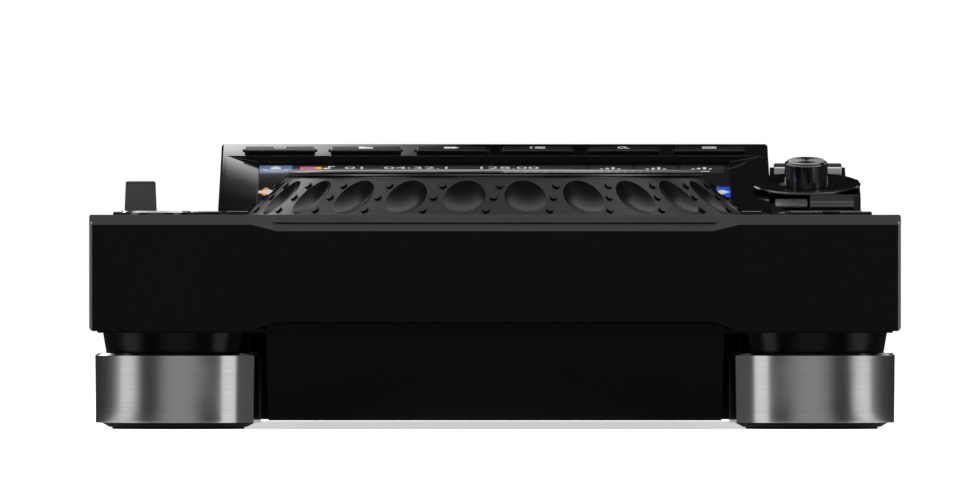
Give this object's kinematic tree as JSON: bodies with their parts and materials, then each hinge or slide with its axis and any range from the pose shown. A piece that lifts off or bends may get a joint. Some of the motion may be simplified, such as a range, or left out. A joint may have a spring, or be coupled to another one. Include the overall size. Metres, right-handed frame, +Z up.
{
  "type": "tabletop media player for DJs",
  "caption": "Tabletop DJ media player: jog wheel with a middle display, tilted screen, selector knob, tempo slider, push buttons, round metal feet, sockets at the back.",
  "frame": {"origin": "on the table under the middle of the body", "axes": "+X to the player's right seen from the front, +Y to the back, +Z up; the front is at -Y"},
  "size_m": [0.329, 0.453, 0.1175],
  "materials": {
    "painted_steel": "fine black powder coat",
    "cabinet_plastic": "matte black, finely textured",
    "foot_metal": "brushed round the ring",
    "pad_rubber": "soft black",
    "housing_plastic": "satin black",
    "screen_glass": "clear over a dark display",
    "display": "display module",
    "post_metal": "turned",
    "bearing_plastic": "natural, self-lubricating",
    "jog_skirt": "dark grey satin",
    "jog_plate": "spun, dark anodised",
    "dish_gloss": "polished black with a bright rim",
    "knob_gloss": "polished black, spun metal top",
    "cap_black": "satin black",
    "cap_grey": "grey",
    "cap_gloss": "gloss black",
    "chrome_trim": "polished",
    "board": "green laminate with black switches",
    "steel_can": "plain",
    "socket_black": "moulded black",
    "screw_steel": "black zinc",
    "shaft_steel": "turned"
  },
  "bodies": {
    "housing": {"base_chassis": "painted_steel", "cabinet": "cabinet_plastic", "rear_panel": "painted_steel", "foot_rings": "foot_metal", "foot_pads": "pad_rubber", "display_housing": "housing_plastic", "display_glass": "screen_glass", "lcd_modules": "display", "jog_post": "post_metal", "jog_bearing": "bearing_plastic", "jog_lens": "screen_glass", "selector_block": "housing_plastic", "selector_dish": "dish_gloss", "tempo_escutcheon": "housing_plastic", "tempo_fader": "steel_can", "circuit_boards": "board", "power_supply": "steel_can", "sockets": "socket_black", "fasteners": "screw_steel", "button_rings": "chrome_trim"},
    "jog": {"jog_wheel": "jog_skirt"},
    "jog_plate": {"jog_top_plate": "jog_plate"},
    "lever": {"direction_lever": "cap_grey"},
    "tempo": {"tempo_cap": "cap_grey"},
    "plunger": {"selector_plunger": "shaft_steel"},
    "selector": {"selector_knob": "knob_gloss"},
    "jog_adjust_knob_body": {"jog_adjust_knob": "cap_black"},
    "vinyl_speed_knob_body": {"vinyl_speed_knob": "cap_black"},
    "play_button_cap": {"play_button": "cap_gloss"},
    "cue_button_cap": {"cue_button": "cap_gloss"},
    "search_back_button_cap": {"search_back_button": "cap_black"},
    "search_forward_button_cap": {"search_forward_button": "cap_black"},
    "track_back_button_cap": {"track_back_button": "cap_black"},
    "track_forward_button_cap": {"track_forward_button": "cap_black"},
    "loop_in_button_cap": {"loop_in_button": "cap_black"},
    "loop_out_button_cap": {"loop_out_button": "cap_black"},
    "reloop_button_cap": {"reloop_button": "cap_black"},
    "hot_cue_button_1_cap": {"hot_cue_button_1": "cap_black"},
    "hot_cue_button_2_cap": {"hot_cue_button_2": "cap_black"},
    "hot_cue_button_3_cap": {"hot_cue_button_3": "cap_black"},
    "hot_cue_button_4_cap": {"hot_cue_button_4": "cap_black"},
    "hot_cue_button_5_cap": {"hot_cue_button_5": "cap_black"},
    "hot_cue_button_6_cap": {"hot_cue_button_6": "cap_black"},
    "hot_cue_button_7_cap": {"hot_cue_button_7": "cap_black"},
    "hot_cue_button_8_cap": {"hot_cue_button_8": "cap_black"},
    "sync_button_cap": {"sync_button": "cap_black"},
    "master_button_cap": {"master_button": "cap_black"},
    "tempo_reset_button_cap": {"tempo_reset_button": "cap_black"},
    "master_tempo_button_cap": {"master_tempo_button": "cap_black"},
    "menu_button_1_cap": {"menu_button_1": "cap_gloss"},
    "menu_button_2_cap": {"menu_button_2": "cap_gloss"},
    "menu_button_3_cap": {"menu_button_3": "cap_gloss"},
    "menu_button_4_cap": {"menu_button_4": "cap_gloss"},
    "menu_button_5_cap": {"menu_button_5": "cap_gloss"},
    "menu_button_6_cap": {"menu_button_6": "cap_gloss"},
    "back_button_cap": {"back_button": "cap_grey"},
    "tag_button_cap": {"tag_button": "cap_grey"},
    "filter_button_cap": {"filter_button": "cap_grey"},
    "shortcut_button_cap": {"shortcut_button": "cap_grey"},
    "power_button_cap": {"power_button": "cap_black"}
  },
  "joints": [
    {"name": "jog_spin", "type": "hinge", "parent": "housing", "child": "jog", "pos_m": [0, -0.1065, 0.09], "axis": [0, 0, 1], "continuous": true},
    {"name": "plate_press", "type": "slide", "parent": "jog", "child": "jog_plate", "axis": [0, 0, -1], "range_m": [0, 0.0004], "stiffness_N_per_m": 8000, "springref_m": -0.0003},
    {"name": "lever_tilt", "type": "hinge", "parent": "housing", "child": "lever", "pos_m": [-0.146, -0.066, 0.078], "axis": [1, 0, 0], "range_deg": [-11, 11]},
    {"name": "tempo_slide", "type": "slide", "parent": "housing", "child": "tempo", "axis": [0, 1, 0], "range_m": [-0.05, 0.05]},
    {"name": "selector_press", "type": "slide", "parent": "housing", "child": "plunger", "axis": [0, 0.1959, -0.9806], "range_m": [0, 0.0006], "stiffness_N_per_m": 500, "springref_m": -0.0006},
    {"name": "selector_turn", "type": "hinge", "parent": "plunger", "child": "selector", "pos_m": [0.1305, 0.09396, 0.09828], "axis": [0, -0.1959, 0.9806], "continuous": true},
    {"name": "jog_adjust_turn", "type": "hinge", "parent": "housing", "child": "jog_adjust_knob_body", "pos_m": [0.1387, 0.012, 0.09], "axis": [0, 0, 1], "range_deg": [-150, 150]},
    {"name": "vinyl_speed_turn", "type": "hinge", "parent": "housing", "child": "vinyl_speed_knob_body", "pos_m": [0.1387, 0.044, 0.09], "axis": [0, 0, 1], "range_deg": [-150, 150]},
    {"name": "play_press", "type": "slide", "parent": "housing", "child": "play_button_cap", "axis": [0, 0, -1], "range_m": [0, 0.0008], "stiffness_N_per_m": 250, "springref_m": -0.0008},
    {"name": "cue_press", "type": "slide", "parent": "housing", "child": "cue_button_cap", "axis": [0, 0, -1], "range_m": [0, 0.0008], "stiffness_N_per_m": 250, "springref_m": -0.0008},
    {"name": "search_back_press", "type": "slide", "parent": "housing", "child": "search_back_button_cap", "axis": [0, 0, -1], "range_m": [0, 0.0008], "stiffness_N_per_m": 250, "springref_m": -0.0008},
    {"name": "search_forward_press", "type": "slide", "parent": "housing", "child": "search_forward_button_cap", "axis": [0, 0, -1], "range_m": [0, 0.0008], "stiffness_N_per_m": 250, "springref_m": -0.0008},
    {"name": "track_back_press", "type": "slide", "parent": "housing", "child": "track_back_button_cap", "axis": [0, 0, -1], "range_m": [0, 0.0008], "stiffness_N_per_m": 250, "springref_m": -0.0008},
    {"name": "track_forward_press", "type": "slide", "parent": "housing", "child": "track_forward_button_cap", "axis": [0, 0, -1], "range_m": [0, 0.0008], "stiffness_N_per_m": 250, "springref_m": -0.0008},
    {"name": "loop_in_press", "type": "slide", "parent": "housing", "child": "loop_in_button_cap", "axis": [0, 0, -1], "range_m": [0, 0.0008], "stiffness_N_per_m": 250, "springref_m": -0.0008},
    {"name": "loop_out_press", "type": "slide", "parent": "housing", "child": "loop_out_button_cap", "axis": [0, 0, -1], "range_m": [0, 0.0008], "stiffness_N_per_m": 250, "springref_m": -0.0008},
    {"name": "reloop_press", "type": "slide", "parent": "housing", "child": "reloop_button_cap", "axis": [0, 0, -1], "range_m": [0, 0.0008], "stiffness_N_per_m": 250, "springref_m": -0.0008},
    {"name": "hot_cue_press_1", "type": "slide", "parent": "housing", "child": "hot_cue_button_1_cap", "axis": [0, 0, -1], "range_m": [0, 0.0008], "stiffness_N_per_m": 250, "springref_m": -0.0008},
    {"name": "hot_cue_press_2", "type": "slide", "parent": "housing", "child": "hot_cue_button_2_cap", "axis": [0, 0, -1], "range_m": [0, 0.0008], "stiffness_N_per_m": 250, "springref_m": -0.0008},
    {"name": "hot_cue_press_3", "type": "slide", "parent": "housing", "child": "hot_cue_button_3_cap", "axis": [0, 0, -1], "range_m": [0, 0.0008], "stiffness_N_per_m": 250, "springref_m": -0.0008},
    {"name": "hot_cue_press_4", "type": "slide", "parent": "housing", "child": "hot_cue_button_4_cap", "axis": [0, 0, -1], "range_m": [0, 0.0008], "stiffness_N_per_m": 250, "springref_m": -0.0008},
    {"name": "hot_cue_press_5", "type": "slide", "parent": "housing", "child": "hot_cue_button_5_cap", "axis": [0, 0, -1], "range_m": [0, 0.0008], "stiffness_N_per_m": 250, "springref_m": -0.0008},
    {"name": "hot_cue_press_6", "type": "slide", "parent": "housing", "child": "hot_cue_button_6_cap", "axis": [0, 0, -1], "range_m": [0, 0.0008], "stiffness_N_per_m": 250, "springref_m": -0.0008},
    {"name": "hot_cue_press_7", "type": "slide", "parent": "housing", "child": "hot_cue_button_7_cap", "axis": [0, 0, -1], "range_m": [0, 0.0008], "stiffness_N_per_m": 250, "springref_m": -0.0008},
    {"name": "hot_cue_press_8", "type": "slide", "parent": "housing", "child": "hot_cue_button_8_cap", "axis": [0, 0, -1], "range_m": [0, 0.0008], "stiffness_N_per_m": 250, "springref_m": -0.0008},
    {"name": "sync_press", "type": "slide", "parent": "housing", "child": "sync_button_cap", "axis": [0, 0, -1], "range_m": [0, 0.0008], "stiffness_N_per_m": 250, "springref_m": -0.0008},
    {"name": "master_press", "type": "slide", "parent": "housing", "child": "master_button_cap", "axis": [0, 0, -1], "range_m": [0, 0.0008], "stiffness_N_per_m": 250, "springref_m": -0.0008},
    {"name": "tempo_reset_press", "type": "slide", "parent": "housing", "child": "tempo_reset_button_cap", "axis": [0, 0, -1], "range_m": [0, 0.0008], "stiffness_N_per_m": 250, "springref_m": -0.0008},
    {"name": "master_tempo_press", "type": "slide", "parent": "housing", "child": "master_tempo_button_cap", "axis": [0, 0, -1], "range_m": [0, 0.0008], "stiffness_N_per_m": 250, "springref_m": -0.0008},
    {"name": "menu_press_1", "type": "slide", "parent": "housing", "child": "menu_button_1_cap", "axis": [0, 0.1959, -0.9806], "range_m": [0, 0.0008], "stiffness_N_per_m": 250, "springref_m": -0.0008},
    {"name": "menu_press_2", "type": "slide", "parent": "housing", "child": "menu_button_2_cap", "axis": [0, 0.1959, -0.9806], "range_m": [0, 0.0008], "stiffness_N_per_m": 250, "springref_m": -0.0008},
    {"name": "menu_press_3", "type": "slide", "parent": "housing", "child": "menu_button_3_cap", "axis": [0, 0.1959, -0.9806], "range_m": [0, 0.0008], "stiffness_N_per_m": 250, "springref_m": -0.0008},
    {"name": "menu_press_4", "type": "slide", "parent": "housing", "child": "menu_button_4_cap", "axis": [0, 0.1959, -0.9806], "range_m": [0, 0.0008], "stiffness_N_per_m": 250, "springref_m": -0.0008},
    {"name": "menu_press_5", "type": "slide", "parent": "housing", "child": "menu_button_5_cap", "axis": [0, 0.1959, -0.9806], "range_m": [0, 0.0008], "stiffness_N_per_m": 250, "springref_m": -0.0008},
    {"name": "menu_press_6", "type": "slide", "parent": "housing", "child": "menu_button_6_cap", "axis": [0, 0.1959, -0.9806], "range_m": [0, 0.0008], "stiffness_N_per_m": 250, "springref_m": -0.0008},
    {"name": "back_press", "type": "slide", "parent": "housing", "child": "back_button_cap", "axis": [0, 0.1959, -0.9806], "range_m": [0, 0.0008], "stiffness_N_per_m": 250, "springref_m": -0.0008},
    {"name": "tag_press", "type": "slide", "parent": "housing", "child": "tag_button_cap", "axis": [0, 0.1959, -0.9806], "range_m": [0, 0.0008], "stiffness_N_per_m": 250, "springref_m": -0.0008},
    {"name": "filter_press", "type": "slide", "parent": "housing", "child": "filter_button_cap", "axis": [0, 0.8921, -0.4519], "range_m": [0, 0.0008], "stiffness_N_per_m": 250, "springref_m": -0.0008},
    {"name": "shortcut_press", "type": "slide", "parent": "housing", "child": "shortcut_button_cap", "axis": [0, 0.8921, -0.4519], "range_m": [0, 0.0008], "stiffness_N_per_m": 250, "springref_m": -0.0008},
    {"name": "power_press", "type": "slide", "parent": "housing", "child": "power_button_cap", "axis": [0, -1, 0], "range_m": [0, 0.0025], "stiffness_N_per_m": 250, "springref_m": -0.0008}
  ]
}
